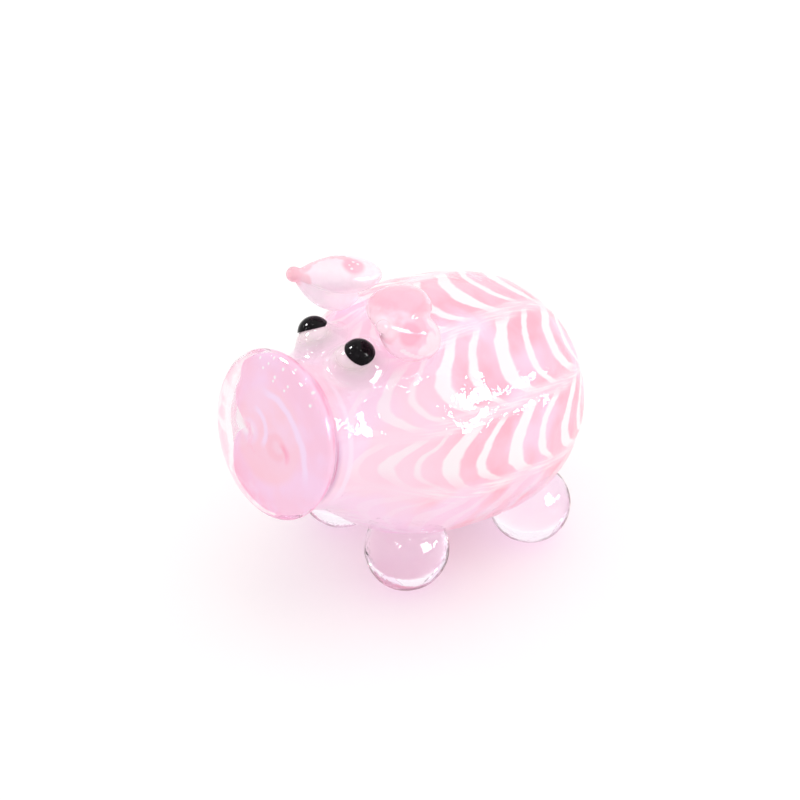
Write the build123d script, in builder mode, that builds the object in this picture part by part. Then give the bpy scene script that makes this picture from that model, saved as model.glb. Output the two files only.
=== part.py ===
# Pig figurine of lampworked glass, about 39 mm long, in millimetres.
# The snout faces -Y, the pig's left side is +X and +Z is up. The origin is on the table,
# under the middle of the figurine's box, and the four feet rest on the plane Z = 0.
import os
from math import cos, radians, sin
from build123d import *

os.makedirs("parts", exist_ok=True)

# Body: a barrel of pink glass turned about one axis that points to the snout, nose up
body_radius = 12.4
rear_length = 13.4
neck_at = 19.3
neck_radius = 6.65
body_height = 14.86
nose_up = 12.2
rear_fullness_share = 2.65
head_slope_shares = (3.2, 2.9)
casing_wall = 0.6

# Feather pattern: white trails laid round the core and combed towards the rear
comb_azimuths = (24.0, 64.0, 101.0, 141.0, 181.0, 222.0, 262.0, 303.0, 343.0)
comb_twist = 11.5
comb_drag = 3.0
trail_depth = 0.4
trail_at_shares = (-0.72, -0.54, -0.345, -0.078, 0.127, 0.326, 0.477, 0.617, 0.736)
trail_width = 1.5
trail_width_shares = (0.67, 0.55, 0.9, 0.6, 1.17, 0.63, 1.0, 0.4, 0.73)
festoon_shares = ((0.0, -1.0), (0.07, -0.83), (0.15, -0.62), (0.25, -0.36), (0.38, -0.1), (0.52, 0.0),
                  (0.66, -0.06), (0.78, -0.25), (0.87, -0.53), (0.94, -0.8), (1.0, -1.0))

# Snout: a thick button of pink glass under a clear cap, with two pressed nostrils
snout_radius = 7.58
snout_lift = 0.72
snout_rim_at = 1.63
snout_front = 1.31
snout_flare_shares = ((0.0, 0.0), (0.32, 0.22), (0.68, 0.78), (1.0, 1.0))
snout_face_shares = ((0.36, 0.985), (0.64, 0.94), (0.85, 0.86), (0.95, 0.76), (0.985, 0.6), (1.0, 0.0))
snout_cap_front = 1.65
snout_cap_rim = 1.15
cap_back_share = 0.83
snout_dome_shares = ((0.25, 0.975), (0.5, 0.91), (0.7, 0.81), (0.86, 0.64), (0.96, 0.4), (1.0, 0.0))
nostril_radius = 1.15
nostril_depth = 0.7
nostril_out = 2.5
nostril_below = 0.6
nostril_dent_radius = 2.2
nostril_dent_depth = 0.3

# Eyes: an ivory dot with a smaller black dome on it
eye_at = 14.75
eye_left_azimuth = 17.0
eye_right_azimuth = 19.5
eye_white_radius = 2.15
eye_white_height = 2.3
eye_white_root = 1.0
eye_white_sink = 0.45
pupil_forward = 0.3
pupil_aside = 1.5
pupil_radius = 1.45
pupil_height = 1.1
pupil_root = 0.4
pupil_sink = 0.4

# Ears: two puffed lobes with a crease between them, drawn out to a bead at the tip
ear_at = 9.8
ear_azimuth = 20.0
ear_tip_ahead = 6.5
ear_tip_lift = 3.3
ear_tip_out = 1.7
ear_top_ahead = 2.1
ear_top_lift = 2.45
ear_top_in = 0.8
ear_top_back = 4.2
ear_top_half_width = 2.8
ear_top_half_height = 1.8
ear_low_ahead = 1.0
ear_low_lift = 0.8
ear_low_out = 1.45
ear_low_back = 2.9
ear_low_half_width = 2.4
ear_low_half_height = 2.2
ear_bead_radius = 0.64
ear_right_lobe_share = 0.85
ear_right_back_share = 0.9
ear_right_tip_share = 0.92
ear_right_lift = 0.45
lobe_shares = ((0.015, 0.24), (0.1, 0.6), (0.25, 0.88), (0.42, 1.0), (0.6, 0.92), (0.78, 0.64),
               (0.9, 0.38), (1.0, 0.2))

# Feet: clear balls, pressed flat where they meet the table, ahead of and beside the body's centre
foot_radius = 4.1
foot_height = 3.89
foot_front_left = (8.6, 4.43)
foot_front_right = (6.65, 7.36)
foot_rear_left = (5.5, 7.45)
foot_rear_right = (7.0, 5.2)

# Tail: a fine thread of glass that leaves the rear and curls once
tail_thread_radius = 0.36
tail_lift = 1.6
tail_reach = 2.4
tail_curl_radius = 0.75
tail_shares = ((0.0, -0.4, 0.0), (0.1, 0.35, 0.1), (0.65, 0.72, 0.55), (0.95, 0.95, 1.4),
               (0.1, 1.0, 2.2), (-0.85, 0.9, 1.5), (-0.45, 0.72, 0.65))

tilt = radians(nose_up)


def core_sizes(inset):
    """Radius, rear length and neck radius of the barrel, set in from its outside."""
    return body_radius - inset, rear_length - inset, neck_radius - inset


def body_radius_at(axial, inset=0):
    """Radius of the barrel at a distance along its axis, positive towards the snout."""
    radius, rear, neck = core_sizes(inset)
    if axial < 0:
        return radius * (1 - (-axial / rear) ** rear_fullness_share) ** (1 / rear_fullness_share)
    first, second = head_slope_shares
    return neck + (radius - neck) * (1 - (axial / neck_at) ** first) ** second


# The body's centre lies behind the middle of the figurine, because the snout reaches furthest
front_reach = max(
    (neck_at + snout_rim_at + snout_front * along) * cos(tilt)
    + (snout_radius * out - snout_lift) * sin(tilt)
    for along, out in snout_face_shares
)
rear_reach = rear_length * cos(tilt) + tail_lift * sin(tilt) + tail_reach
body_behind = (front_reach - rear_reach) / 2

centre = Vector(0, body_behind, body_height)
ahead = Vector(0, -cos(tilt), sin(tilt))
above = Vector(0, sin(tilt), cos(tilt))
left = Vector(1, 0, 0)
body_axis = Axis(centre, ahead)
axis_plane = Plane(origin=centre, x_dir=ahead, z_dir=-left)
snout_centre = centre + above * snout_lift
snout_axis = Axis(snout_centre, ahead)
snout_plane = Plane(origin=snout_centre, x_dir=ahead, z_dir=-left)


def around(azimuth):
    """Direction square to the axis, turned from the top towards the pig's left."""
    turn = radians(azimuth)
    return above * cos(turn) + left * sin(turn)


def on_body(axial, azimuth, lift=0):
    """Point over the barrel's surface."""
    return centre + ahead * axial + around(azimuth) * (body_radius_at(axial) + lift)


def out_of_body(axial, azimuth):
    """Outward direction of the barrel's surface."""
    step = neck_at / 1000
    slope = (body_radius_at(axial + step) - body_radius_at(axial - step)) / (2 * step)
    return (around(azimuth) - ahead * slope).normalized()


def barrel(inset):
    """The turned barrel as one solid, set in evenly from its outside."""
    radius, rear, neck = core_sizes(inset)
    rear_shares = (0.92, 0.72, 0.4)
    head_shares = (0.22, 0.42, 0.58, 0.72, 0.84, 0.93)
    points = [(-rear, 0)]
    points += [(-rear * share, body_radius_at(-rear * share, inset)) for share in rear_shares]
    points += [(0, radius)]
    points += [(neck_at * share, body_radius_at(neck_at * share, inset)) for share in head_shares]
    points += [(neck_at, neck)]
    with BuildPart() as blank:
        with BuildSketch(axis_plane):
            with BuildLine():
                Spline(*points, tangents=((0, 1), (1, 0)), tangent_scalars=(1, 1))
                Polyline((neck_at, neck), (neck_at, 0), (-rear, 0))
            make_face()
        revolve(axis=body_axis)
    return blank.part


def button(neck, radius, rim_at, front, face_shares):
    """A round button that flares from the neck to its rim and turns over to its face."""
    points = [(neck_at + rim_at * along, neck + (radius - neck) * out)
              for along, out in snout_flare_shares]
    points += [(neck_at + rim_at + front * along, radius * out)
               for along, out in face_shares]
    with BuildPart() as blank:
        with BuildSketch(snout_plane):
            with BuildLine():
                Spline(*points)
                Polyline(points[-1], (neck_at, 0), points[0])
            make_face()
        revolve(axis=snout_axis)
    return blank.part


def finish(piece, name):
    """Name a finished piece and write it to its file."""
    piece.part.label = name
    export_step(piece.part, f"parts/{name}.step")
    print(name, "solids", len(piece.part.solids()), "volume", round(piece.part.volume, 3))


def festoon_edge(at, radius, start, end):
    """One festoon of a trail's border, between two comb lines, at a radius from the axis."""
    points = []
    for share, drop in festoon_shares:
        azimuth = start + (end - start) * share
        points.append(centre + ahead * (at + comb_drag * drop) + around(azimuth) * radius)
    return Edge.make_spline(points)


def groove_tool(middle, width):
    """A festooned ring from under the trails out past the core, to cut a trail and its groove."""
    inner = body_radius / 4
    outer = body_radius + casing_wall
    front = middle + width / 2
    back = middle - width / 2
    lines = [azimuth + comb_twist * middle / neck_at for azimuth in comb_azimuths]
    faces = []
    for start, end in zip(lines, lines[1:] + [lines[0] + 360]):
        corners = [festoon_edge(at, radius, start, end)
                   for at, radius in ((front, inner), (front, outer), (back, outer), (back, inner))]
        for first, second in zip(corners, corners[1:] + corners[:1]):
            faces.append(Face.make_surface_from_curves(first, second))
    with BuildPart() as tool:
        add(Solid(Shell(faces)))
        add(under_trails, mode=Mode.SUBTRACT, clean=False)
    return tool.part


def lens(plane, radius, height, root):
    """A round blob on a plane: a dome above it and a shallower root below."""
    with BuildPart() as blob:
        with BuildSketch(Plane(origin=plane.origin, x_dir=plane.x_dir, z_dir=-plane.y_dir)):
            with BuildLine():
                RadiusArc((0, height), (radius, 0), (radius**2 + height**2) / (2 * height))
                RadiusArc((radius, 0), (0, -root), (radius**2 + root**2) / (2 * root))
                Line((0, -root), (0, height))
            make_face()
        revolve(axis=Axis(plane.origin, plane.z_dir))
    return blob.part


def lobe(back, tip, half_width, half_height, across):
    """One puffed lobe of an ear, from its rounded back to its narrow tip."""
    along = tip - back
    with BuildPart() as puff:
        for share, size in lobe_shares:
            with BuildSketch(Plane(origin=back + along * share, x_dir=across, z_dir=along)):
                Ellipse(half_width * size, half_height * size)
        loft()
    return puff.part


# Turned solids that the pieces are cut with: outside, under the casing and under the trails
body_blank = barrel(0)
core_blank = barrel(casing_wall)
under_trails = barrel(casing_wall + trail_depth)

# White feather trails, sunk flush in the core
trails = []
grooves = []
for number, (at_share, width_share) in enumerate(zip(trail_at_shares, trail_width_shares), 1):
    length = neck_at if at_share > 0 else rear_length
    grooves.append(groove_tool(at_share * length, width_share * trail_width))
    with BuildPart() as trail:
        add(grooves[-1])
        add(core_blank, mode=Mode.INTERSECT, clean=False)
    finish(trail, f"feather_trail_{number}")

# Pink core of the body and head
with BuildPart() as body_core:
    add(core_blank)
    add(grooves, mode=Mode.SUBTRACT, clean=False)
finish(body_core, "body_core")

# Clear casing over the pattern
with BuildPart() as body_casing:
    add(body_blank)
    add(core_blank, mode=Mode.SUBTRACT)
finish(body_casing, "body_casing")

# Pink core of the snout, with two nostrils pressed into its face
snout_blank = button(neck_radius, snout_radius, snout_rim_at, snout_front, snout_face_shares)
snout_face_at = neck_at + snout_rim_at + snout_front
nostril_places = [snout_centre - above * nostril_below + left * side * nostril_out for side in (1, -1)]
with BuildPart() as snout_core:
    add(button(neck_radius - casing_wall, snout_radius - snout_cap_rim,
               snout_rim_at - snout_cap_front * cap_back_share,
               snout_front - snout_cap_front * (1 - cap_back_share), snout_dome_shares))
    for place in nostril_places:
        press = snout_face_at - snout_cap_front - nostril_depth + nostril_radius
        with Locations(place + ahead * press):
            Sphere(nostril_radius, mode=Mode.SUBTRACT)
finish(snout_core, "snout_core")

# Clear cap over the snout's face and rim, dented outside each nostril
with BuildPart() as snout_cap:
    add(snout_blank)
    add(snout_core.part, mode=Mode.SUBTRACT)
    for place in nostril_places:
        dent = snout_face_at - nostril_dent_depth + nostril_dent_radius
        with Locations(place + ahead * dent):
            Sphere(nostril_dent_radius, mode=Mode.SUBTRACT)
finish(snout_cap, "snout_cap")

# Eyes on the head's casing: ivory dots with black domes on them
for name, azimuth, aside in (("left", eye_left_azimuth, pupil_aside),
                             ("right", -eye_right_azimuth, -pupil_aside)):
    seat = Plane(origin=on_body(eye_at, azimuth, -eye_white_sink),
                 z_dir=out_of_body(eye_at, azimuth))
    dome_at = eye_at + pupil_forward
    dome_lift = eye_white_height - eye_white_sink - pupil_sink
    dome = Plane(origin=on_body(dome_at, azimuth + aside, dome_lift),
                 z_dir=out_of_body(dome_at, azimuth + aside))
    with BuildPart() as eye_white:
        add(lens(seat, eye_white_radius, eye_white_height, eye_white_root))
        add(body_blank, mode=Mode.SUBTRACT)
    finish(eye_white, f"eye_white_{name}")
    with BuildPart() as pupil:
        add(lens(dome, pupil_radius, pupil_height, pupil_root))
        add(eye_white.part, mode=Mode.SUBTRACT)
        add(body_blank, mode=Mode.SUBTRACT)
    finish(pupil, f"pupil_{name}")

# Ears: the right one came out smaller than the left when they were drawn
ears = (("left", 1, 1, 1, 1, 0),
        ("right", -1, ear_right_lobe_share, ear_right_back_share, ear_right_tip_share, ear_right_lift))
for name, side, lobe_share, back_share, tip_share, lift in ears:
    ear_seat = on_body(ear_at, side * ear_azimuth, lift)
    ear_up = around(side * ear_azimuth)
    ear_out = around(side * (ear_azimuth + 90))
    ear_tip = ear_seat + (ahead * ear_tip_ahead + ear_up * ear_tip_lift
                          + ear_out * ear_tip_out) * tip_share
    ear_top = ear_seat + ahead * ear_top_ahead + ear_up * ear_top_lift - ear_out * ear_top_in
    ear_low = ear_seat + ahead * ear_low_ahead + ear_up * ear_low_lift + ear_out * ear_low_out
    with BuildPart() as ear:
        for middle, back, half_width, half_height in (
            (ear_top, ear_top_back, ear_top_half_width, ear_top_half_height),
            (ear_low, ear_low_back, ear_low_half_width, ear_low_half_height),
        ):
            along = (ear_tip - middle).normalized()
            across = along.cross(Vector(0, 0, 1))
            add(lobe(middle - along * back * back_share, ear_tip,
                     half_width * lobe_share, half_height * lobe_share, across))
        with Locations(Plane(origin=ear_tip, z_dir=ear_tip * 2 - ear_top - ear_low)):
            Sphere(ear_bead_radius)
        add(body_blank, mode=Mode.SUBTRACT)
    finish(ear, f"ear_{name}")

# Feet: clear balls fused to the belly, each with a flat on the table
feet = (("front_left", 1, foot_front_left, 1), ("front_right", 1, foot_front_right, -1),
        ("rear_left", -1, foot_rear_left, 1), ("rear_right", -1, foot_rear_right, -1))
for name, lengthwise, (distance, beside), side in feet:
    with BuildPart() as foot:
        with Locations((side * beside, body_behind - lengthwise * distance, foot_height)):
            Sphere(foot_radius)
        split(bisect_by=Plane.XY, keep=Keep.TOP)
        add(body_blank, mode=Mode.SUBTRACT)
    finish(foot, f"foot_{name}")

# Tail: a thread fused to the rear casing and curled once
tail_root = on_body(-rear_length, 0) + above * tail_lift
thread_reach = tail_reach - tail_thread_radius
back_way = Vector(0, 1, 0)
up_way = Vector(0, 0, 1)
with BuildPart() as tail:
    with BuildLine() as tail_path:
        Spline(*[tail_root + left * tail_curl_radius * across + back_way * thread_reach * behind
                 + up_way * tail_curl_radius * up for across, behind, up in tail_shares])
    with BuildSketch(Plane(origin=tail_path.line @ 0, z_dir=tail_path.line % 0)):
        Circle(tail_thread_radius)
    sweep(path=tail_path.line)
    with Locations(tail_path.line @ 1):
        Sphere(tail_thread_radius)
    add(body_blank, mode=Mode.SUBTRACT)
finish(tail, "tail")
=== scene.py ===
"""Looks of the pig figurine: fused glass on a pale table, in metres, in the CAD frame."""

import math

import bmesh
import bpy
from mathutils import Matrix, Vector, noise


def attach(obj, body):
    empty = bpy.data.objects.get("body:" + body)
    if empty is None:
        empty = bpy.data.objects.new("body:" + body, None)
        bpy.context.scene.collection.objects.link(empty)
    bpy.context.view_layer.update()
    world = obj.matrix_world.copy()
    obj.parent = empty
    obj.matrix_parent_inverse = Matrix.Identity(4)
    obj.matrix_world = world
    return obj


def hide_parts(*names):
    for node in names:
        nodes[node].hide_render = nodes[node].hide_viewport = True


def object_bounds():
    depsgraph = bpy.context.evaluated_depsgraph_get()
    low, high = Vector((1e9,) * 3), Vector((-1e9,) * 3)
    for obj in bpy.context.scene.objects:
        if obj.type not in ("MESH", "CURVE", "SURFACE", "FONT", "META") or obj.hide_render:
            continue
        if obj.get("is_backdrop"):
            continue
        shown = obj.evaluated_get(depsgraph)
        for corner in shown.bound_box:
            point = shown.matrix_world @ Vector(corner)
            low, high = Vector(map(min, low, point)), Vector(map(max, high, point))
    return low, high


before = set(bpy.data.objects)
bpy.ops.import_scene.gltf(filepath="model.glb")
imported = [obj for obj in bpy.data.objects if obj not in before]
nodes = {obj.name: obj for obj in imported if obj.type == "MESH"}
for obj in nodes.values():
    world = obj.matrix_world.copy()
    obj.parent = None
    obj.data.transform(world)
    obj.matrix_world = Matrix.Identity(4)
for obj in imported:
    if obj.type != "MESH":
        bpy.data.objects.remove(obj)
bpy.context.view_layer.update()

MM = 0.001

# The body's axis and profile in mm and degrees, as in the part's source
BODY_CENTRE = Vector((0, 3.4678, 14.86)) * MM
NOSE_UP = math.radians(12.2)
AHEAD = Vector((0, -math.cos(NOSE_UP), math.sin(NOSE_UP)))
ABOVE = Vector((0, math.sin(NOSE_UP), math.cos(NOSE_UP)))
LEFT = Vector((1, 0, 0))
BODY_R, REAR, NECK_AT, NECK_R = 12.4, 13.4, 19.3, 6.65
REAR_FULL, SLOPE_A, SLOPE_B = 2.65, 3.2, 2.9
SLOPE_STEP = 0.02
SNOUT_LIFT, LIFT_FROM, LIFT_TO = 0.72, 17.0, 20.4
SNOUT_CENTRE = BODY_CENTRE + ABOVE * SNOUT_LIFT * MM
SNOUT_R, RIM_AT, FRONT = 7.58, 1.63, 1.31
FLARE = ((0.0, 0.0), (0.32, 0.22), (0.68, 0.78), (1.0, 1.0))
FACE = ((0.26, 0.985), (0.5, 0.93), (0.7, 0.83), (0.84, 0.69), (0.93, 0.5), (0.98, 0.25),
        (1.0, 0.0))
COLLAR_AT, COLLAR_WIDE, COLLAR_HIGH = 18.1, 1.3, 0.12
NOSTRIL_OUT, NOSTRIL_BELOW = 2.5, 0.6
EYE_AT, EYE_AZIMUTHS = 14.75, {"left": 17.0, "right": -19.5}

# Comb lines in degrees round the body, their twist, and how far the comb dragged in mm
COMB_LINES = (24.0, 64.0, 101.0, 141.0, 181.0, 222.0, 262.0, 303.0, 343.0)
COMB_TWIST, DRAG = 11.5, 3.0


def body_radius(s):
    """Radius of the body's outside in mm, at s mm along its axis."""
    if s < 0:
        return BODY_R * max(0.0, 1 - (-s / REAR) ** REAR_FULL) ** (1 / REAR_FULL)
    return NECK_R + (BODY_R - NECK_R) * (1 - (s / NECK_AT) ** SLOPE_A) ** SLOPE_B


def shell_radius(s):
    """Radius of the clear glass in mm: thicker behind the snout."""
    collar = COLLAR_HIGH * math.exp(-((s - COLLAR_AT) / COLLAR_WIDE) ** 2)
    return body_radius(min(s, NECK_AT)) + collar


def around(azimuth):
    turn = math.radians(azimuth)
    return ABOVE * math.cos(turn) + LEFT * math.sin(turn)


def on_body(s, azimuth, lift=0.0):
    return BODY_CENTRE + (AHEAD * s + around(azimuth) * (body_radius(s) + lift)) * MM


def out_of_body(s, azimuth):
    """Outward direction of the body's surface."""
    slope = (body_radius(s + SLOPE_STEP) - body_radius(s - SLOPE_STEP)) / (2 * SLOPE_STEP)
    return (around(azimuth) - AHEAD * slope).normalized()


def lifted(s):
    """Centre of the clear glass at s mm along the axis: it rises to the snout's own axis."""
    t = min(max((s - LIFT_FROM) / (LIFT_TO - LIFT_FROM), 0.0), 1.0)
    return BODY_CENTRE + ABOVE * SNOUT_LIFT * t * t * (3 - 2 * t) * MM


def off_line(azimuth, middle):
    """Degrees from a middle azimuth, from -180 to 180."""
    return (azimuth - middle + 180) % 360 - 180


def smooth_line(points, steps):
    """Points of a smooth line through the given ones."""
    out = []
    last = len(points) - 1
    for i in range(last):
        a, b = points[max(i - 1, 0)], points[i]
        c, d = points[i + 1], points[min(i + 2, last)]
        for k in range(steps):
            t = k / steps
            out.append(tuple(
                0.5 * (2 * q + (r - p) * t + (2 * p - 5 * q + 4 * r - w) * t * t
                       + (3 * q - p - 3 * r + w) * t ** 3)
                for p, q, r, w in zip(a, b, c, d)))
    return out + [tuple(points[-1])]


def new_object(name, bm, smooth=True):
    mesh = bpy.data.meshes.new(name)
    bmesh.ops.recalc_face_normals(bm, faces=bm.faces)
    bm.to_mesh(mesh)
    bm.free()
    if smooth:
        mesh.polygons.foreach_set("use_smooth", [True] * len(mesh.polygons))
    obj = bpy.data.objects.new(name, mesh)
    bpy.context.scene.collection.objects.link(obj)
    return obj


def rings_to_mesh(bm, rings, first_pole, last_pole):
    """Skins a row of closed rings, and closes each end that has a pole."""
    made = [[bm.verts.new(p) for p in ring] for ring in rings]
    count = len(made[0])
    for one, two in zip(made, made[1:]):
        for k in range(count):
            j = (k + 1) % count
            bm.faces.new((one[k], one[j], two[j], two[k]))
    for ring, pole in ((made[0], first_pole), (made[-1], last_pole)):
        if pole is None:
            continue
        tip = bm.verts.new(pole)
        for k in range(count):
            bm.faces.new((ring[k], ring[(k + 1) % count], tip))


def turned(name, rear_pole, profile, front_pole, segments, shift):
    """A body turned about the rising axis from a list of (s, radius) in mm, each point shifted."""
    bm = bmesh.new()
    rings = []
    for s, radius in profile:
        ring = []
        for k in range(segments):
            azimuth = 360 * k / segments
            p = lifted(s) + (AHEAD * s + around(azimuth) * radius) * MM
            ring.append(p + shift(s, radius, azimuth))
        rings.append(ring)
    ends = [None if s is None else lifted(s) + AHEAD * s * MM for s in (rear_pole, front_pole)]
    rings_to_mesh(bm, rings, *ends)
    return new_object(name, bm)


# Materials


class Paint:
    """The node tree of a material or world, and short calls for its nodes."""

    def __init__(self, owner):
        owner.use_nodes = True
        self.owner, self.tree = owner, owner.node_tree
        self.tree.nodes.clear()

    def put(self, socket, value):
        if isinstance(value, bpy.types.NodeSocket):
            self.tree.links.new(value, socket)
        elif value is not None:
            socket.default_value = value

    def node(self, kind, sockets=None, **settings):
        n = self.tree.nodes.new(kind)
        for key, value in settings.items():
            setattr(n, key, value)
        for key, value in (sockets or {}).items():
            self.put(n.inputs[key], value)
        return n

    def maths(self, operation, a, b=None):
        n = self.node("ShaderNodeMath", operation=operation)
        self.put(n.inputs[0], a)
        self.put(n.inputs[1], b)
        return n.outputs[0]

    def add(self, a, b):
        return self.maths("ADD", a, b)

    def take(self, a, b):
        return self.maths("SUBTRACT", a, b)

    def times(self, a, b):
        return self.maths("MULTIPLY", a, b)

    def apart(self, a, b):
        """How far two values are from each other."""
        return self.maths("ABSOLUTE", self.take(a, b))

    def reach(self, a, b):
        """Length of the two sides a and b together."""
        return self.maths("SQRT", self.add(self.times(a, a), self.times(b, b)))

    def vector(self, operation, a, b=None):
        n = self.node("ShaderNodeVectorMath", operation=operation)
        self.put(n.inputs[0], a)
        self.put(n.inputs[1], b)
        return n.outputs["Value" if operation in ("DOT_PRODUCT", "LENGTH") else "Vector"]

    def scaled(self, a, factor):
        n = self.node("ShaderNodeVectorMath", operation="SCALE")
        self.put(n.inputs[0], a)
        self.put(n.inputs["Scale"], factor)
        return n.outputs["Vector"]

    def spread(self, value, low, high, to_low=0.0, to_high=1.0):
        n = self.node("ShaderNodeMapRange", interpolation_type="SMOOTHSTEP", clamp=True)
        for socket, v in zip(n.inputs[:5], (value, low, high, to_low, to_high)):
            self.put(socket, v)
        return n.outputs[0]

    def sector(self, turn, middle, full, end):
        """1 within full degrees of a middle angle, and 0 from end degrees on."""
        return self.spread(self.apart(turn, math.radians(middle)),
                           math.radians(full), math.radians(end), 1.0, 0.0)

    def blend(self, share, a, b):
        n = self.node("ShaderNodeMix", data_type="RGBA")
        self.put(n.inputs[0], share)
        self.put(n.inputs[6], a)
        self.put(n.inputs[7], b)
        return n.outputs[2]

    def noise(self, where, scale, detail=2.0, rough=0.5):
        return self.node("ShaderNodeTexNoise", {
            "Vector": where, "Scale": scale, "Detail": detail, "Roughness": rough}).outputs["Fac"]

    def wobble(self, value, where, scale, amount, detail=2.0):
        """The value, shifted up and down by noise."""
        return self.add(value, self.times(self.take(self.noise(where, scale, detail), 0.5), amount))

    def curve(self, value, points, handle):
        """The value through a curve of (x, y) points, both from 0 to 1."""
        n = self.node("ShaderNodeFloatCurve")
        self.put(n.inputs["Value"], value)
        line = n.mapping.curves[0]
        line.points[0].location, line.points[1].location = points[0], points[-1]
        for x, y in points[1:-1]:
            line.points.new(x, y)
        for point in line.points:
            point.handle_type = handle
        n.mapping.update()
        return n.outputs[0]

    def join(self, x, y, z):
        return self.node("ShaderNodeCombineXYZ", {"X": x, "Y": y, "Z": z}).outputs[0]

    def place(self):
        """Place on the piece, in mm in the CAD frame."""
        return self.scaled(self.node("ShaderNodeTexCoord").outputs["Object"], 1 / MM)

    def along_body(self, place, centre):
        """Distances ahead of, above and left of a centre, and the angle from above to left."""
        off = self.vector("SUBTRACT", place, tuple(centre / MM))
        axial, up, side = (self.vector("DOT_PRODUCT", off, tuple(d)) for d in (AHEAD, ABOVE, LEFT))
        return axial, up, side, self.maths("ARCTAN2", side, up)

    def spot(self, colour, place, at, full, end, strength, tint):
        """A soft spot of a tint: whole within full mm of a point, and gone at end mm."""
        away = self.vector("LENGTH", self.vector("SUBTRACT", place, tuple(at)))
        return self.blend(self.spread(away, full, end, strength, 0.0), colour, tint)

    def bump(self, height, strength, distance):
        return self.node("ShaderNodeBump", {
            "Height": height, "Strength": strength, "Distance": distance}).outputs["Normal"]

    def principled(self, **sockets):
        """The main shader. A socket's name is written with _ for each space."""
        return self.node("ShaderNodeBsdfPrincipled", {
            key.replace("_", " "): value for key, value in sockets.items()}).outputs[0]

    def any_ray(self, *kinds):
        rays = self.node("ShaderNodeLightPath")
        share = rays.outputs[kinds[0]]
        for kind in kinds[1:]:
            share = self.maths("MAXIMUM", share, rays.outputs[kind])
        return share

    def seen(self):
        """Rays that show what they meet, by themselves or through metal and glass."""
        return self.any_ray("Is Camera Ray", "Is Glossy Ray", "Is Transmission Ray")

    def mixed(self, share, a, b):
        return self.node("ShaderNodeMixShader", {0: share, 1: a, 2: b}).outputs[0]

    def finish_glass(self, glass, passed, share=None):
        """Glass that lets lamps and soft light through to what is inside it, through its tint."""
        soft = self.any_ray("Is Shadow Ray", "Is Diffuse Ray")
        if share is not None:
            soft = self.times(soft, share)
        through = self.node("ShaderNodeBsdfTransparent", {"Color": passed}).outputs[0]
        return self.finish(self.mixed(soft, glass, through))

    def finish(self, shader, kind="ShaderNodeOutputMaterial"):
        self.node(kind, {"Surface": shader})
        return self.owner


def new_paint(name):
    return Paint(bpy.data.materials.new(name))


def linear(r, g, b):
    """A colour given as 0 to 255 screen values."""
    return tuple((c / 255 / 12.92 if c <= 10 else ((c / 255 + 0.055) / 1.055) ** 2.4)
                 for c in (r, g, b)) + (1.0,)


PINK = linear(255, 200, 219)
PINK_DEEP = linear(255, 186, 205)
PINK_PALE = linear(255, 224, 240)
WHITE = linear(254, 250, 253)
LAVENDER = linear(253, 222, 247)
CREASE_SHADE_MAUVE = linear(186, 130, 180)
EYE_IVORY_AND_LIGHT = linear(255, 228, 245)
HIGHLIGHT_LINE_PALE = linear(254, 236, 252)
REFLECTION_PALE = linear(252, 226, 252)
BAY_SEEN_THROUGH_WHITE = linear(254, 244, 252)

# White bands: place along the axis in mm, width in mm and strength. The last has no CAD trail,
# and lies on the neck
TRAILS = ((-9.65, 1.0, 1.0), (-7.24, 0.82, 1.0), (-4.62, 1.35, 1.0), (-1.05, 0.9, 1.0),
          (2.45, 1.75, 1.0), (6.29, 0.95, 0.95), (9.2, 1.5, 0.9), (11.9, 0.6, 0.6),
          (14.2, 1.2, 0.6), (17.2, 1.1, 0.3))
TRAIL_SOFT = 0.16
# How far each band hangs back between two comb lines, as shares of the drag
FESTOON = ((0.0, 1.0), (0.07, 0.83), (0.15, 0.62), (0.25, 0.36), (0.38, 0.1), (0.52, 0.0),
           (0.66, 0.06), (0.78, 0.25), (0.87, 0.53), (0.94, 0.8), (1.0, 1.0))
WANDER_SCALE, WANDER = 0.2, 0.16
RIPPLE_SCALE, RIPPLE = 0.5, 0.7
BELLY_FROM, BELLY_TO, BELLY_LEFT = 92, 106, 0.25
LINE_FROM, LINE_TO = 0.02, 0.16
STREAK_LONG, STREAK_FINE, STREAK_SCALE = 0.16, 22.0, 1.6
STREAK_END_FROM, STREAK_END_TO, STREAK_LEFT = 8.0, 13.5, 0.15
HEAD_FROM, HEAD_TO, HEAD_PALE = 5.0, 13.0, 0.85
CLOUD_SHIFT, CLOUD_SCALE, BELLY_SHADE_LAVENDER = (31.0, 7.0, 13.0), 0.16, -0.06
EYE_PALE_FULL, EYE_PALE_END, EYE_PALE_SHARE = 1.8, 3.8, 0.85
CREASE_AT, CREASE_FULL, CREASE_END = 100, 15, 50
HIGHLIGHT_LINE_BACK, HIGHLIGHT_LINE_AT, HIGHLIGHT_LINE_FULL, HIGHLIGHT_LINE_END = 1.7, 75, 35, 65


def comb_shares(p, axial, turn, place):
    """Share of the way from one comb line to the next, at each place."""
    twist = math.radians(COMB_TWIST / NECK_AT)
    back_at = p.times(p.add(axial, DRAG / 2), twist)
    here = p.wobble(p.take(turn, back_at), place, WANDER_SCALE, WANDER, 1.0)
    first = math.radians(COMB_LINES[0])
    share = p.maths("FRACT", p.maths("DIVIDE", p.take(here, first), 2 * math.pi))
    lines = [(a - COMB_LINES[0]) / 360 for a in COMB_LINES] + [1.0]
    fields = len(lines) - 1
    share = p.curve(share, [(x, k / fields) for k, x in enumerate(lines)], "VECTOR")
    return p.maths("FRACT", p.times(share, float(fields)))


def crease(p, axial, turn, fade_from, fade_to, strength):
    """Share of the painted shade, a dark line in the crease behind the snout: it shows on the pig's
    left.
    """
    return p.times(p.spread(axial, NECK_AT + fade_from, NECK_AT + fade_to, 0.0, strength),
                   p.sector(turn, CREASE_AT, CREASE_FULL, CREASE_END))


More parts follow.
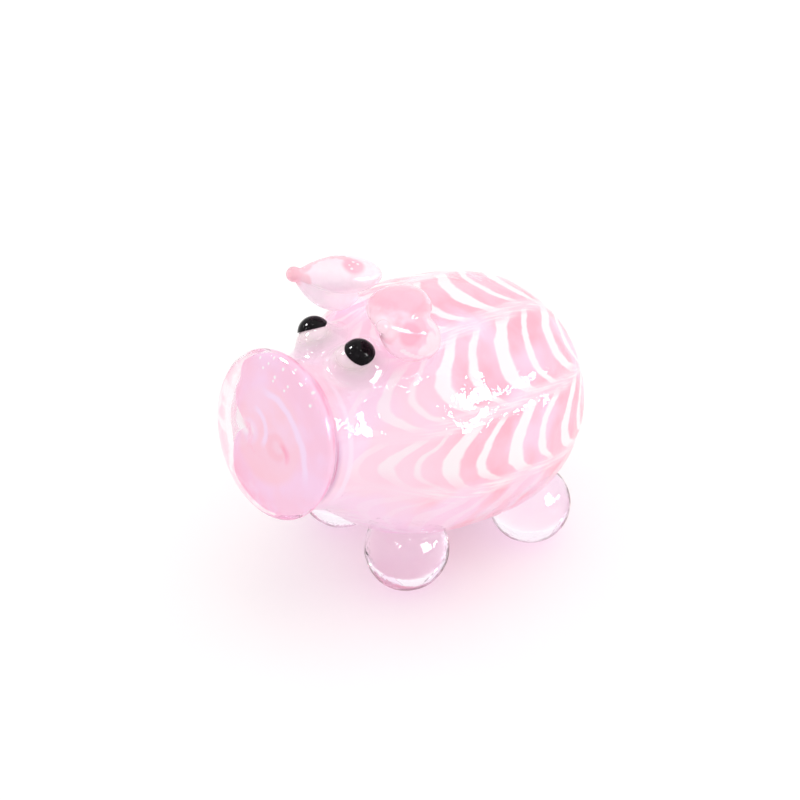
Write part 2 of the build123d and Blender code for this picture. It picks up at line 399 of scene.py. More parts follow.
def feathered():
    """Pink glass with white trails combed in festoons, from place alone."""
    p = new_paint("feathered_glass")
    place = p.place()
    axial, _, side, turn = p.along_body(place, BODY_CENTRE)
    share = comb_shares(p, axial, turn, place)
    drop = p.times(p.curve(share, FESTOON, "AUTO"), DRAG)
    middle = p.wobble(p.add(axial, drop), place, RIPPLE_SCALE, RIPPLE)
    white = None
    for at, width, strength in TRAILS:
        band = p.spread(p.apart(middle, at), width / 2 - TRAIL_SOFT, width / 2 + TRAIL_SOFT,
                        strength, 0.0)
        white = band if white is None else p.maths("MAXIMUM", white, band)
    # The trails blur out on the belly
    white = p.times(white, p.spread(p.maths("ABSOLUTE", turn), math.radians(BELLY_FROM),
                                    math.radians(BELLY_TO), 1.0, BELLY_LEFT))
    # Streaks where the comb was dragged, fainter towards the head
    near = p.spread(p.maths("MINIMUM", share, p.take(1.0, share)), LINE_FROM, LINE_TO, 1.0, 0.0)
    along = p.join(p.times(middle, STREAK_LONG), p.times(turn, STREAK_FINE), 0.0)
    streak = p.spread(p.noise(along, STREAK_SCALE, 3.0, 0.6), 0.4, 0.68, 0.1, 0.75)
    streak = p.times(streak, p.spread(axial, STREAK_END_FROM, STREAK_END_TO, 1.0, STREAK_LEFT))
    white = p.node("ShaderNodeMix", {0: near, 2: white, 3: streak}, data_type="FLOAT").outputs[0]
    # Pink between the trails: cloudy, pale at the comb lines and on the head, lavender in places.
    # The lavender leans to the belly as painted shade
    pink = p.blend(p.spread(p.noise(place, 0.35, 3.0), 0.35, 0.65), PINK_DEEP, PINK)
    pink = p.blend(p.spread(near, 0.0, 1.0, 0.0, 0.55), pink, PINK_PALE)
    pink = p.blend(p.spread(axial, HEAD_FROM, HEAD_TO, 0.0, HEAD_PALE), pink, PINK_PALE)
    cloud = p.noise(p.vector("ADD", place, CLOUD_SHIFT), CLOUD_SCALE)
    # Painted shade: more lavender lower round the body
    cloud = p.add(cloud, p.times(p.maths("COSINE", turn), BELLY_SHADE_LAVENDER))
    pink = p.blend(p.spread(cloud, 0.44, 0.62, 0.0, 0.7), pink, LAVENDER)
    colour = p.blend(white, pink, WHITE)
    # Pale round each eye: partly the ivory there, partly painted light that lifts the shade the
    # pupils cast
    for azimuth in EYE_AZIMUTHS.values():
        colour = p.spot(colour, place, on_body(EYE_AT, azimuth) / MM,
                        EYE_PALE_FULL, EYE_PALE_END, EYE_PALE_SHARE, EYE_IVORY_AND_LIGHT)
    # Painted shade: mauve in the crease behind the snout
    colour = p.blend(crease(p, axial, turn, -1.0, -0.15, 0.55), colour, CREASE_SHADE_MAUVE)
    # Painted highlight: a pale line on the neck's left side, just behind the snout
    highlight_line = p.times(p.spread(p.apart(axial, NECK_AT - HIGHLIGHT_LINE_BACK), 0.1, 0.4, 0.7, 0.0),
                     p.sector(turn, HIGHLIGHT_LINE_AT, HIGHLIGHT_LINE_FULL, HIGHLIGHT_LINE_END))
    colour = p.blend(highlight_line, colour, HIGHLIGHT_LINE_PALE)
    # Painted light: white on the neck's right side and the core's end, behind the clear crescent,
    # for the pale background seen through it
    pale = p.times(p.spread(axial, NECK_AT - 2.2, NECK_AT - 0.8), p.spread(side, -1.0, -4.0))
    pale = p.maths("MAXIMUM", pale, p.spread(axial, NECK_AT - 0.12, NECK_AT - 0.03))
    colour = p.blend(p.times(pale, 0.9), colour, WHITE)
    return p.finish(p.principled(Base_Color=colour, Roughness=0.35, Specular_IOR_Level=0.0))


def opal(name, low, high, scale, roughness, shine=0.5):
    """Solid glass of one colour with soft clouds in it."""
    p = new_paint(name)
    place = p.place()
    return p.finish(p.principled(
        Base_Color=p.blend(p.spread(p.noise(place, scale, 3.0), 0.3, 0.7), low, high),
        Roughness=p.spread(p.noise(place, scale * 2), 0.3, 0.7, roughness * 0.8, roughness * 1.2),
        Specular_IOR_Level=shine,
        Normal=p.bump(p.noise(place, scale * 3), 0.12, 0.0001)))


# Painted shade: a dark tint of clear glass where it is seen edge-on, standing for dark surroundings
# that its edges bend in
EDGE_SHADE_DARK = (0.06, 0.025, 0.02, 1)


def clear(name, tints, passed, wave, edge, ior=1.5, coat=0.0, rim=(0.62, 0.8), painted_rim_tint=EDGE_SHADE_DARK):
    """Clear glass between two tints, waved by (strength, scale, height). Rims seen edge-on take
    another tint in broken lines, as deep as edge says: painted shade for the dark surroundings the
    edges bend in, and on the cap a painted pink for the button seen through its edge."""
    p = new_paint(name)
    place = p.place()
    wave_strength, wave_scale, wave_height = wave
    tint = p.blend(p.spread(p.noise(place, 0.3), 0.3, 0.7), *tints)
    facing = p.node("ShaderNodeLayerWeight", {"Blend": 0.5}).outputs["Facing"]
    broken = p.spread(p.noise(place, 0.45), 0.4, 0.55, 0.25, 1.0)
    tint = p.blend(p.times(p.spread(facing, *rim, 0.0, edge), broken), tint, painted_rim_tint)
    return p.finish_glass(p.principled(
        Base_Color=tint, Roughness=p.spread(p.noise(place, 0.8), 0.4, 0.8, 0.0, 0.03),
        IOR=ior, Transmission_Weight=1.0, Coat_Weight=coat, Coat_Roughness=0.015,
        Normal=p.bump(p.noise(place, wave_scale, 3.0), wave_strength, wave_height)), passed)


# Painted highlights: white dots on the snout's shoulder: place and radius in mm
PAINTED_GLINTS = ((-2.69, -15.54, 26.01, 0.13), (-1.06, -15.38, 26.57, 0.13), (-1.41, -15.68, 26.04, 0.12),
         (-1.93, -15.87, 25.5, 0.12), (0.44, -15.63, 26.24, 0.15), (1.64, -15.34, 26.54, 0.12),
         (-0.27, -15.96, 25.32, 0.15), (-0.37, -16.07, 24.94, 0.12), (1.48, -15.99, 25.16, 0.13),
         (1.18, -16.13, 24.69, 0.12), (2.86, -15.69, 25.79, 0.12), (4.07, -15.55, 25.5, 0.15),
         (4.3, -16.02, 24.56, 0.15))
# Marks on the button: places in mm from the snout's axis, and angles in degrees
EDGE_SCALE, EDGE_WAVE = 0.4, 0.7
FACE_R, OUTSIDE_R = 3.8, 4.9
ARC_ASIDE, ARC_BELOW, ARC_R = 1.2, 2.6, 6.4
ARC_MIDDLE, ARC_FULL, ARC_END = 42, 32, 50
FLANK_AT, FLANK_FULL, FLANK_END = -96, 50, 62
BAY_OUT = 3.4
# The comma's angles are in radians
COMMA_OUT, COMMA_UP, COMMA_R = NOSTRIL_OUT - 0.35, 0.5, 1.9
COMMA_TURN, COMMA_FULL, COMMA_END = 0.5, 0.7, 1.3
# Nostril marks, painted light and shade of the dents: place to the left, ring's radius, inside
# colour and ring's colour
NOSTRILS = ((NOSTRIL_OUT - 1.3, 0.95, linear(254, 214, 230), linear(254, 196, 212)),
            (-NOSTRIL_OUT, 0.85, linear(253, 236, 250), linear(252, 222, 246)))


def snout_pink():
    """The button under the cap: a pink face, a pale arc at its shoulder and two nostrils. The arc,
    nostril marks, comma, white bay, flank, dots and crease line are painted light and shade.
    """
    p = new_paint("snout_pink")
    place = p.place()
    axial, up, side, turn = p.along_body(place, SNOUT_CENTRE)
    out = p.wobble(p.reach(up, side), place, EDGE_SCALE, EDGE_WAVE)
    cloud = p.spread(p.noise(place, 0.3, 3.0), 0.35, 0.65)
    face = p.blend(cloud, linear(255, 210, 228), linear(254, 215, 238))
    face = p.blend(p.times(p.spread(up, 2.0, -4.0), 0.7), face, linear(255, 207, 222))
    outside = p.blend(cloud, linear(254, 208, 232), linear(253, 215, 243))
    colour = p.blend(p.spread(out, FACE_R, OUTSIDE_R), face, outside)
    # Painted reflection: a pale arc from the top round to the pig's left
    beside, raised = p.add(side, ARC_ASIDE), p.add(up, ARC_BELOW)
    away = p.wobble(p.reach(raised, beside), place, EDGE_SCALE, EDGE_WAVE)
    arc = p.spread(p.apart(away, ARC_R), 0.12, 0.5, 0.95, 0.0)
    span = p.sector(p.maths("ARCTAN2", beside, raised), ARC_MIDDLE, ARC_FULL, ARC_END)
    colour = p.blend(p.times(arc, span), colour, REFLECTION_PALE)
    # Painted shade: a rosy ring round the left nostril with a lighter middle. Painted light: pale
    # marks and a white bay at the right one, for the pale background seen through the clear glass
    below = p.add(up, NOSTRIL_BELOW)
    for at, ring_at, inner, ring in NOSTRILS:
        away = p.reach(below, p.take(side, at))
        colour = p.blend(p.spread(away, 0.3, 1.1, 0.8, 0.0), colour, inner)
        colour = p.blend(p.spread(p.apart(away, ring_at), 0.1, 0.6, 0.6, 0.0), colour, ring)
    away = p.reach(below, p.add(side, BAY_OUT))
    colour = p.blend(p.spread(away, 0.3, 1.1, 0.8, 0.0), colour, BAY_SEEN_THROUGH_WHITE)
    # Painted reflection: a comma-shaped pale mark inside the right nostril
    beside, raised = p.add(side, COMMA_OUT), p.take(below, COMMA_UP)
    comma = p.spread(p.apart(p.reach(raised, beside), COMMA_R), 0.1, 0.4, 0.85, 0.0)
    bent = p.apart(p.maths("ARCTAN2", raised, beside), COMMA_TURN)
    comma = p.times(comma, p.spread(bent, COMMA_FULL, COMMA_END, 1.0, 0.0))
    colour = p.blend(comma, colour, REFLECTION_PALE)
    # Painted shade: mauve in the crease behind the snout
    colour = p.blend(crease(p, axial, turn, 0.9, 0.1, 0.5), colour, CREASE_SHADE_MAUVE)
    # White flank: it stands for the pale background seen through the clear crescent
    flank = p.times(p.sector(turn, FLANK_AT, FLANK_FULL, FLANK_END),
                    p.spread(axial, NECK_AT + 1.5, NECK_AT + 1.1))
    colour = p.blend(flank, colour, WHITE)
    # Painted highlights: the white dots on the shoulder
    for x, y, z, radius in PAINTED_GLINTS:
        colour = p.spot(colour, place, (x, y, z), radius * 0.6, radius * 1.4, 1.0, WHITE)
    return p.finish(p.principled(
        Base_Color=colour, Roughness=p.spread(p.noise(place, 0.9), 0.3, 0.7, 0.35, 0.5),
        Specular_IOR_Level=0.0))


def eye_glass(name, seat, axis):
    """Clear glass of an eye's mound, with a little ivory in it round the pupil."""
    p = new_paint(name)
    place = p.place()
    off = p.vector("SUBTRACT", place, tuple(seat / MM))
    high = p.vector("DOT_PRODUCT", off, tuple(axis))
    flat = p.vector("SUBTRACT", off, p.scaled(tuple(axis), high))
    out = p.wobble(p.vector("LENGTH", flat), place, 0.6, 0.25)
    crown = p.blend(p.spread(p.noise(place, 0.8, 3.0), 0.35, 0.65),
                    linear(250, 247, 240), linear(255, 245, 248))
    return p.finish_glass(p.principled(
        Base_Color=p.blend(p.spread(out, 1.5, 2.2), crown, linear(255, 250, 252)),
        Roughness=p.spread(p.noise(place, 0.9), 0.3, 0.7, 0.02, 0.06),
        IOR=1.3, Coat_Weight=1.0, Coat_Roughness=0.015,
        Transmission_Weight=p.spread(out, 1.2, 2.4, 0.62, 0.96),
        Normal=p.bump(p.noise(place, 0.9), 0.15, 0.0003)), (1, 1, 1, 1))


def ear_glass(name, base, tip, high, tints, pink_from, spots):
    """Milky translucent glass of an ear, tinted from root to tip, with soft spots in it."""
    p = new_paint(name)
    place = p.place()
    off = p.vector("SUBTRACT", place, tuple(base / MM))
    line = (tip - base) / MM
    t = p.maths("DIVIDE", p.vector("DOT_PRODUCT", off, tuple(line.normalized())), line.length)
    t = p.wobble(t, place, 0.5, 0.2)
    up = p.wobble(p.vector("DOT_PRODUCT", off, tuple(high)), place, 0.6, 0.6)
    middle_a, middle_b, root, upper, point = tints
    colour = p.blend(p.spread(p.noise(place, 0.45, 3.0), 0.4, 0.6), middle_a, middle_b)
    colour = p.blend(p.spread(t, 0.25, -0.1), colour, root)
    colour = p.blend(p.spread(up, pink_from, pink_from + 0.5, 0.0, 0.85), colour, upper)
    colour = p.blend(p.spread(t, 0.78, 0.9), colour, point)
    for x, y, z, radius, tint in spots:
        colour = p.spot(colour, place, (x, y, z), radius * 0.7, radius * 1.2, 1.0, tint)
    return p.finish_glass(p.principled(
        Base_Color=colour, Roughness=p.spread(p.noise(place, 0.8), 0.3, 0.8, 0.02, 0.08),
        IOR=1.45, Transmission_Weight=0.4,
        Normal=p.bump(p.noise(place, 0.6), 0.3, 0.0005)), (0.97, 0.85, 0.9, 1), 0.7)


FEATHERED = feathered()
SNOUT_PINK = snout_pink()
BLACK = opal("black", (0.002, 0.001, 0.002, 1), (0.006, 0.004, 0.006, 1), 1.5, 0.025, 0.1)
TAIL_PINK = opal("tail_pink", linear(252, 168, 190), linear(254, 196, 212), 1.0, 0.06)
CASING_GLASS = clear("casing_glass", ((1, 0.98, 0.99, 1), (1, 0.995, 1, 1)), (1, 0.98, 0.985, 1),
                     wave=(0.45, 0.5, 0.0006), edge=0.1)
# The cap's pink rim is painted light: the pink button seen through the cap's edge
CAP_GLASS = clear("cap_glass", ((1, 0.97, 0.99, 1), (1, 0.99, 1, 1)), (1, 0.97, 0.985, 1),
                  wave=(0.2, 0.4, 0.0005), edge=1.0, ior=1.2, coat=0.6,
                  rim=(0.36, 0.62), painted_rim_tint=(1, 0.5, 0.64, 1))
FOOT_GLASS = clear("foot_glass", ((0.985, 0.925, 1, 1), (1, 0.955, 1, 1)), (1, 0.915, 1, 1),
                   wave=(0.25, 0.5, 0.0005), edge=1.0)


def paint(obj, material):
    obj.data.materials.clear()
    obj.data.materials.append(material)


def take_over(obj, material, slot, *replaced):
    """A piece of the scene that stands for CAD nodes."""
    paint(obj, material)
    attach(obj, "root")
    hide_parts(*replaced)


for name, node in nodes.items():
    if name.startswith("feather_trail") or name == "body_core":
        paint(node, FEATHERED)
for side in EYE_AZIMUTHS:
    paint(nodes[f"pupil_{side}"], BLACK)
paint(nodes["tail"], TAIL_PINK)

# Eye mounds: domes whose skirts melt into the head
DOME_R, DOME_SUNK, SKIRT_FROM, SKIRT_TO, SKIRT_END = 2.155, 0.305, 1.7, 3.0, -0.05
MOUND_RINGS, MOUND_SEGMENTS = 40, 64


def mound_height(out):
    """Height of an eye mound over the head, out mm from its middle."""
    if out < SKIRT_FROM:
        return math.sqrt(DOME_R ** 2 - out ** 2) - DOME_SUNK
    dome = math.sqrt(DOME_R ** 2 - SKIRT_FROM ** 2)
    slope = -SKIRT_FROM / dome * (SKIRT_TO - SKIRT_FROM)
    t = (out - SKIRT_FROM) / (SKIRT_TO - SKIRT_FROM)
    return ((2 * t ** 3 - 3 * t * t + 1) * (dome - DOME_SUNK) + (t ** 3 - 2 * t * t + t) * slope
            + (3 * t * t - 2 * t ** 3) * SKIRT_END)


for side, azimuth in EYE_AZIMUTHS.items():
    seat, axis = on_body(EYE_AT, azimuth), out_of_body(EYE_AT, azimuth)
    across = axis.cross(AHEAD).normalized()
    along = across.cross(axis)
    rings = []
    for i in range(1, MOUND_RINGS + 1):
        out = SKIRT_TO * i / MOUND_RINGS
        height = mound_height(out)
        ring = []
        for k in range(MOUND_SEGMENTS):
            turn = 2 * math.pi * k / MOUND_SEGMENTS
            q = seat + (across * math.cos(turn) + along * math.sin(turn)) * out * MM - BODY_CENTRE
            s = q.dot(AHEAD)
            outward = (q - AHEAD * s).normalized()
            ring.append(BODY_CENTRE + AHEAD * s + outward * body_radius(s / MM) * MM
                        + axis * height * MM)
        rings.append(ring)
    bm = bmesh.new()
    rings_to_mesh(bm, rings, seat + axis * (DOME_R - DOME_SUNK) * MM, None)
    mound = new_object(f"eye_mound_{side}", bm)
    take_over(mound, eye_glass(f"ivory_{side}", seat, axis), "ivory_glass", f"eye_white_{side}")

# Clear glass over the body, grooved along the comb lines. It runs on into the snout's cap
GROOVE_DEPTH, GROOVE_WIDE, GROOVE_SCALE = 0.17, 5.0, 0.35
GROOVE_END, HEAD_FADE, REAR_FADE = 15.0, 5.0, 2.0
SWELL_ALONG, SWELL_ROUND, SWELL_HIGH = 0.22, 2.2, 0.06
REAR_ANGLES, HEAD_RINGS, SEGMENTS = range(87, 0, -3), 80, 480


def grooves(s, radius, azimuth):
    fade = max(0.0, min(1.0, (GROOVE_END - s) / HEAD_FADE)) * min(1.0, (s + REAR) / REAR_FADE)
    depth = 0.0
    for line in COMB_LINES:
        away = off_line(azimuth, line + COMB_TWIST * (s + DRAG / 2) / NECK_AT)
        deep = 0.7 + 0.6 * noise.noise(Vector((s * GROOVE_SCALE, line, 0.0)))
        depth += GROOVE_DEPTH * deep * math.exp(-(away / GROOVE_WIDE) ** 2)
    turn = math.radians(azimuth)
    swell = SWELL_HIGH * noise.noise(Vector((
        s * SWELL_ALONG, math.cos(turn) * SWELL_ROUND, math.sin(turn) * SWELL_ROUND)))
    return around(azimuth) * (swell - depth) * fade * MM


profile = [(s, body_radius(s)) for s in (-REAR * math.sin(math.radians(a)) for a in REAR_ANGLES)]
profile += [(s, shell_radius(s)) for s in (NECK_AT * k / HEAD_RINGS for k in range(HEAD_RINGS + 1))]
casing = turned("casing", -REAR, profile, None, SEGMENTS, grooves)
take_over(casing, CASING_GLASS, "clear_casing", "body_casing")

# Snout cap: the thick clear button, dented outside each nostril
DENT_DEPTH, DENT_WIDE = 0.42, 0.8
FACE_RINGS, FACE_SAG = 40, 0.015


def dent(s, radius, azimuth):
    if s < NECK_AT + RIM_AT:
        return Vector((0, 0, 0))
    turn = math.radians(azimuth)
    up, out = radius * math.cos(turn), abs(radius * math.sin(turn))
    away = math.hypot(up + NOSTRIL_BELOW, out - NOSTRIL_OUT)
    return AHEAD * -DENT_DEPTH * math.exp(-(away / DENT_WIDE) ** 2) * MM


neck = shell_radius(NECK_AT)
key = [(NECK_AT + RIM_AT * a, neck + (SNOUT_R - neck) * b) for a, b in FLARE]
key += [(NECK_AT + RIM_AT + FRONT * a, SNOUT_R * b) for a, b in FACE[:-1]]
line = smooth_line(key, 10)
face_r = line[-1][1]
face = [(NECK_AT + RIM_AT + FRONT * (1 - FACE_SAG * (r / face_r) ** 4), r)
        for r in (face_r * (1 - k / FACE_RINGS) for k in range(1, FACE_RINGS))]
cap = turned("cap", None, line + face, NECK_AT + RIM_AT + FRONT, SEGMENTS, dent)
take_over(cap, CAP_GLASS, "clear_cap", "snout_cap")

# Snout button: the pink glass in the cap. It is thinned and notched on the pig's right, where the
# clear crescent shows, and pressed in at the nostrils. BUTTON lists mm past the neck and radius
BUTTON_R, BUTTON_ASIDE, BUTTON_ROOT, BUTTON_TOP, BUTTON_SEGMENTS = 7.0, 0.1, 0.4, 2.0, 200
BUTTON = ((-0.4, 5.6), (0.0, 5.95), (0.45, 6.45), (0.85, 6.8), (1.15, 6.97), (1.4, 7.0),
          (1.62, 6.8), (1.8, 6.25), (1.9, 5.4), (1.96, 4.2), (1.99, 2.2))
GROWN_BY, FACE_FROM, FACE_STEPS = 0.9, 1.2, 16
THIN_AT, THIN_HALF, THIN_TOP, THIN_LOW, THIN_DEPTH, THIN_SLANT = -96.0, 52.0, 16.0, 34.0, 1.35, 150
NOTCH_AT, NOTCH_WIDE, NOTCH_DEPTH = -95.0, 14.0, 2.1
PITS, PIT_WIDE = ((NOSTRIL_OUT - 1.2, 0.3), (-NOSTRIL_OUT, 0.4)), 0.9


def press(s, radius, azimuth):
    turn = math.radians(azimuth)
    grown = max(0.0, min(1.0, (s - NECK_AT) / GROWN_BY))
    away = off_line(azimuth, THIN_AT)
    t = max(0.0, min(1.0, (THIN_HALF - abs(away)) / (THIN_TOP if away > 0 else THIN_LOW)))
    thin = (THIN_DEPTH - away / THIN_SLANT) * radius / BUTTON_R * t * t * (3 - 2 * t)
    away = off_line(azimuth, NOTCH_AT)
    thin += NOTCH_DEPTH * (radius / BUTTON_R) ** 2 * math.exp(-(away / NOTCH_WIDE) ** 2)
    radius -= thin * grown
    aside = BUTTON_ASIDE * grown
    deep = 0.0
    if s > NECK_AT + FACE_FROM:
        up, out = radius * math.cos(turn), radius * math.sin(turn) + aside
        for at, depth in PITS:
            deep += depth * math.exp(-(math.hypot(up + NOSTRIL_BELOW, out - at) / PIT_WIDE) ** 2)
    return (LEFT * aside - AHEAD * deep - around(azimuth) * thin * grown) * MM


line = [(NECK_AT + a, b) for a, b in smooth_line(BUTTON, 6)]
line += [(NECK_AT + BUTTON_TOP, BUTTON[-1][1] * (1 - k / FACE_STEPS)) for k in range(1, FACE_STEPS)]
button = turned("snout_button", NECK_AT - BUTTON_ROOT, line, NECK_AT + BUTTON_TOP,
                BUTTON_SEGMENTS, press)
take_over(button, SNOUT_PINK, "pink_glass", "snout_core")

# Feet: clear balls pressed flat on the table. FEET lists mm to the left of and behind the body's
# middle
FOOT_R, FOOT_HEIGHT, FOOT_FLAT, FOOT_LIFT = 4.1, 3.89, 1.4, 0.02
FOOT_WAVE, FOOT_WAVE_SCALE, FOOT_RINGS, FOOT_SEGMENTS = 0.05, 1.3, 60, 96
FEET = {"front_left": (4.43, -8.6), "front_right": (-7.36, -6.65),
        "rear_left": (7.45, 5.5), "rear_right": (-5.2, 7.0)}
for name, (x, back) in FEET.items():
    centre = Vector((x, BODY_CENTRE.y / MM + back, FOOT_HEIGHT))
    rings = []
    for i in range(1, FOOT_RINGS):
        polar = math.pi * i / FOOT_RINGS
        ring = []
        for k in range(FOOT_SEGMENTS):
            turn = 2 * math.pi * k / FOOT_SEGMENTS
            d = Vector((math.sin(polar) * math.cos(turn), math.sin(polar) * math.sin(turn),
                        math.cos(polar)))
            radius = FOOT_R + FOOT_WAVE * noise.noise(d * FOOT_WAVE_SCALE + centre)
            p = centre + d * radius
            p.z = max(p.z, FOOT_LIFT * (1 - min(1.0, d.xy.length * FOOT_R / FOOT_FLAT)))
            ring.append(p * MM)
        rings.append(ring)
    bm = bmesh.new()
    rings_to_mesh(bm, rings, (centre + Vector((0, 0, FOOT_R))) * MM,
                  Vector((centre.x, centre.y, FOOT_LIFT)) * MM)
    foot = new_object(f"ball_foot_{name}", bm)
    take_over(foot, FOOT_GLASS, "foot_glass", f"foot_{name}")

# Ears: two puffed lobes melted together and drawn out to a bead. A lobe's outline is (way, width)
LOBE = ((0.0, 0.0), (0.03, 0.3), (0.1, 0.6), (0.25, 0.88), (0.42, 1.0), (0.6, 0.92), (0.78, 0.64),
        (0.9, 0.38), (1.0, 0.2))
EAR_AT, EAR_AZIMUTH = 9.8, 20.0
# Tip and lobe middles: mm ahead of, above and outside the ear's seat
EAR_TIP, EAR_TOP, EAR_LOW = (6.5, 3.3, 1.7), (2.1, 2.45, -0.8), (1.0, 0.8, 1.45)
# Each lobe's reach back, half width and half height in mm
TOP_LOBE, LOW_LOBE = (4.2, 2.8, 1.8), (2.9, 2.4, 2.2)
LOBE_SEGMENTS, MELT_VOXEL, RELAX_FACTOR, RELAX_ROUNDS = 48, 0.00014, 0.5, 7
# Name, side, shares of the lobes' size, reach and tip, lift and bead's radius
EARS = (("left", 1, 1.0, 1.0, 0.97, 0.0, 0.6), ("right", -1, 0.85, 0.9, 0.87, 0.45, 0.72))
ROSE, BLUSH, PALE_ROSE = linear(255, 188, 205), linear(255, 192, 209), linear(254, 212, 222)
# Five tints, the height from which the ear is pink, and spots: place, radius in mm and tint
EAR_LOOKS = {
    "left": (
        (linear(255, 208, 222), linear(255, 226, 240), linear(254, 240, 250), BLUSH,
         linear(255, 236, 244)), 1.1,
        ((7.4, -7.55, 29.4, 1.1, ROSE), (6.9, -4.8, 29.2, 0.5, WHITE),
         (6.95, -4.3, 28.6, 0.6, WHITE), (7.3, -4.1, 28.0, 0.7, WHITE),
         (7.75, -5.5, 28.3, 0.7, WHITE), (7.65, -4.7, 27.5, 0.85, WHITE),
         (7.78, -5.5, 27.3, 0.8, WHITE), (7.82, -6.3, 27.5, 0.65, WHITE),
         (7.4, -6.4, 26.7, 0.3, WHITE), (7.33, -6.85, 26.95, 0.3, WHITE),
         (7.17, -7.7, 27.5, 0.3, WHITE), (7.25, -7.3, 27.2, 0.3, WHITE),
         (7.08, -8.1, 27.8, 0.3, WHITE))),
    "right": (
        (linear(255, 244, 253), linear(255, 250, 255), linear(255, 246, 252), PALE_ROSE,
         linear(255, 206, 217)), 3.4,
        ((-5.65, -8.1, 31.1, 0.7, PALE_ROSE), (-5.7, -7.2, 31.4, 0.6, PALE_ROSE),
         (-5.4, -6.3, 31.6, 0.6, PALE_ROSE), (-4.87, -5.5, 31.65, 0.6, PALE_ROSE),
         (-4.1, -5.1, 31.7, 0.5, PALE_ROSE), (-3.5, -4.9, 31.7, 0.5, PALE_ROSE),
         (-4.85, -8.6, 30.3, 0.55, PALE_ROSE),
         (-3.85, -8.0, 29.8, 0.45, WHITE), (-3.75, -7.5, 29.3, 0.5, WHITE),
         (-3.8, -6.8, 28.9, 0.5, WHITE), (-3.6, -6.2, 28.5, 0.45, WHITE),
         # The pink spot next, and four tiny white dots on it that are painted highlights
         (-2.55, -5.05, 31.4, 1.05, BLUSH), (-2.3, -5.5, 31.3, 0.14, WHITE),
         (-2.9, -4.8, 31.5, 0.14, WHITE), (-2.5, -4.6, 31.4, 0.14, WHITE),
         (-2.75, -5.4, 31.4, 0.12, WHITE)))}
for name, side, lobe_share, back_share, tip_share, lift, bead_r in EARS:
    seat = on_body(EAR_AT, side * EAR_AZIMUTH, lift)
    rise, out = around(side * EAR_AZIMUTH), around(side * (EAR_AZIMUTH + 90))
    tip, top, low = (seat + (AHEAD * a + rise * b + out * c) * share * MM
                     for (a, b, c), share in ((EAR_TIP, tip_share), (EAR_TOP, 1.0), (EAR_LOW, 1.0)))
    bm = bmesh.new()
    for middle, (back, half_width, half_height) in ((top, TOP_LOBE), (low, LOW_LOBE)):
        along = (tip - middle).normalized()
        across = along.cross(Vector((0, 0, 1))).normalized()
        high = across.cross(along)
        start = middle - along * back * back_share * MM
        rings = []
        for at, size in smooth_line(LOBE, 6)[1:]:
            centre = start.lerp(tip, at)
            angles = (2 * math.pi * k / LOBE_SEGMENTS for k in range(LOBE_SEGMENTS))
            rings.append([
                centre + (across * half_width * math.cos(a) + high * half_height * math.sin(a))
                * size * lobe_share * MM for a in angles])
        rings_to_mesh(bm, rings, start, tip)
    bmesh.ops.create_uvsphere(bm, u_segments=32, v_segments=20, radius=bead_r * MM,
                              matrix=Matrix.Translation(tip))
    ear = new_object(f"leaf_ear_{name}", bm)
    melt = ear.modifiers.new("melt", "REMESH")
    melt.mode = "VOXEL"
    melt.voxel_size = MELT_VOXEL
    melt.use_smooth_shade = True
    relax = ear.modifiers.new("relax", "SMOOTH")
    relax.factor, relax.iterations = RELAX_FACTOR, RELAX_ROUNDS
    middle = (top + low) / 2
    leaf = (tip - middle).normalized()
    high = leaf.cross(Vector((0, 0, 1))).normalized().cross(leaf)
    glass = ear_glass(f"ear_glass_{name}", middle, tip, high, *EAR_LOOKS[name])
    take_over(ear, glass, "ear_glass", f"ear_{name}")

# Table: it looks white from all sides, and still takes the object's shadow
TABLE_HALF, TABLE_Z = 3.0, -0.00003
LIFT_NEAR, LIFT_FAR, LIFT_LOW, LIFT_HIGH = 60.0, 300.0, 0.08, 0.3
bm = bmesh.new()
bmesh.ops.create_grid(bm, x_segments=1, y_segments=1, size=TABLE_HALF)
table = new_object("table_top", bm, smooth=False)
table.location.z = TABLE_Z
table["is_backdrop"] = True
p = new_paint("table_white")
white = p.blend(p.noise(p.place(), 0.02), (0.93, 0.925, 0.92, 1), (0.945, 0.94, 0.935, 1))
top = p.principled(Base_Color=white, Roughness=0.6, Specular_IOR_Level=0.15)
far = p.spread(p.vector("LENGTH", p.place()), LIFT_NEAR, LIFT_FAR, LIFT_LOW, LIFT_HIGH)
lift = p.node("ShaderNodeEmission", {"Color": (1, 1, 1, 1), "Strength": p.times(p.seen(), far)})
paint(table, p.finish(p.node("ShaderNodeAddShader", {0: top, 1: lift.outputs[0]}).outputs[0]))

# World: soft light on the object, and plain white where it is seen
world = bpy.data.worlds.new("studio")
bpy.context.scene.world = world
p = Paint(world)
lit, shown = (p.node("ShaderNodeBackground", {"Color": colour, "Strength": strength}).outputs[0]
              for colour, strength in (((1.0, 0.99, 0.98, 1), 0.93), ((1, 1, 1, 1), 1.0)))
p.finish(p.mixed(p.seen(), lit, shown), "ShaderNodeOutputWorld")

# Lamps, placed for the photo's highlights. Only the overhead one gives diffuse light
AIM = Vector((0, 0, 0.015))


def towards(azimuth, elevation):
    a, e = math.radians(azimuth), math.radians(elevation)
    return Vector((math.sin(a) * math.cos(e), -math.cos(a) * math.cos(e), math.sin(e)))


def hang(name, light, azimuth, elevation, distance, roll=0.0, highlight_only=True):
    """Hangs a lamp that looks at the object. Most lamps only make highlights."""
    lamp = bpy.data.objects.new(name, light)
    back = towards(azimuth, elevation)
    lamp.location = AIM + back * distance
    lamp.rotation_mode = "QUATERNION"
    lamp.rotation_quaternion = (-back).to_track_quat("-Z", "Y") @ Matrix.Rotation(
        math.radians(roll), 3, "Z").to_quaternion()
    bpy.context.scene.collection.objects.link(lamp)
    lamp.visible_camera = False
    if highlight_only:
        lamp.visible_diffuse = False


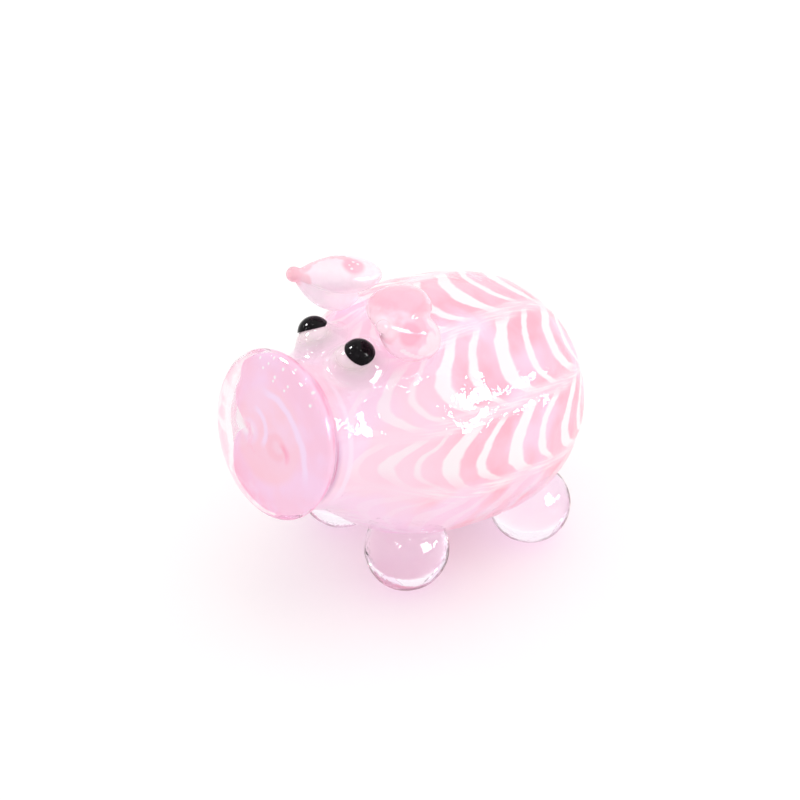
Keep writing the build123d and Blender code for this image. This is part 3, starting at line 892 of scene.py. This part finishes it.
def soft_box(name, azimuth, elevation, distance, wide, high, power, **more):
    light = bpy.data.lights.new(name, "AREA")
    light.shape = "RECTANGLE"
    light.size, light.size_y, light.energy = wide, high, power
    hang(name, light, azimuth, elevation, distance, **more)


def small_lamp(name, azimuth, elevation, power, radius=0.006, distance=0.35):
    light = bpy.data.lights.new(name, "POINT")
    light.shadow_soft_size, light.energy = radius, power
    hang(name, light, azimuth, elevation, distance)


# Azimuth, elevation, width, height and power of each pane of the window
PANES = ((101, 17, 0.085, 0.06, 0.4), (115, 17, 0.085, 0.06, 0.4), (101, 28, 0.085, 0.06, 0.4),
         (115, 28, 0.085, 0.06, 0.4), (132, 11, 0.07, 0.035, 0.2), (142, 9, 0.04, 0.03, 0.1))
PANE_DISTANCE = 0.4
# Azimuth and elevation of each small lamp
DOTS = ((-50, 45), (-75, 60), (-30, 35), (10, 40), (30, 55), (0, 80), (-100, 75),
        (-55, 75), (60, 72), (-10, 48), (25, 35), (-60, 28), (45, 25))
DOT_POWER = 0.09
soft_box("overhead", 150, 70, 0.5, 0.5, 0.5, 0.45, highlight_only=False)
for i, (azimuth, elevation, *pane) in enumerate(PANES):
    soft_box(f"window_{i}", azimuth, elevation, PANE_DISTANCE, *pane)
soft_box("bar", 74, 58, 0.4, 0.05, 0.01, 0.05, roll=20)
for i, (azimuth, elevation) in enumerate(DOTS):
    small_lamp(f"dot_{i}", azimuth, elevation, DOT_POWER)
soft_box("lamp", -55, 45.5, 0.35, 0.055, 0.055, 2.2)
small_lamp("glint", 113, 23, 1.8, 0.01)
small_lamp("glint_low", -20, 28, 0.25, 0.008)

# Camera at the photo's angle
CAMERA_AT, CAMERA_AZIMUTH, CAMERA_ELEVATION = Vector((81.129, -77.7438, 86.3783)), 46.9037, 31.9309
camera = bpy.data.objects.new("camera", bpy.data.cameras.new("camera"))
bpy.context.scene.collection.objects.link(camera)
camera.location = CAMERA_AT * MM
camera.rotation_mode = "QUATERNION"
camera.rotation_quaternion = (-towards(CAMERA_AZIMUTH, CAMERA_ELEVATION)).to_track_quat("-Z", "Y")
camera.data.sensor_width = 36.0
camera.data.lens = 62.662
camera.data.clip_start, camera.data.clip_end = 0.001, 20.0
bpy.context.scene.camera = camera
bpy.context.scene.view_settings.view_transform = "Standard"

low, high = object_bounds()
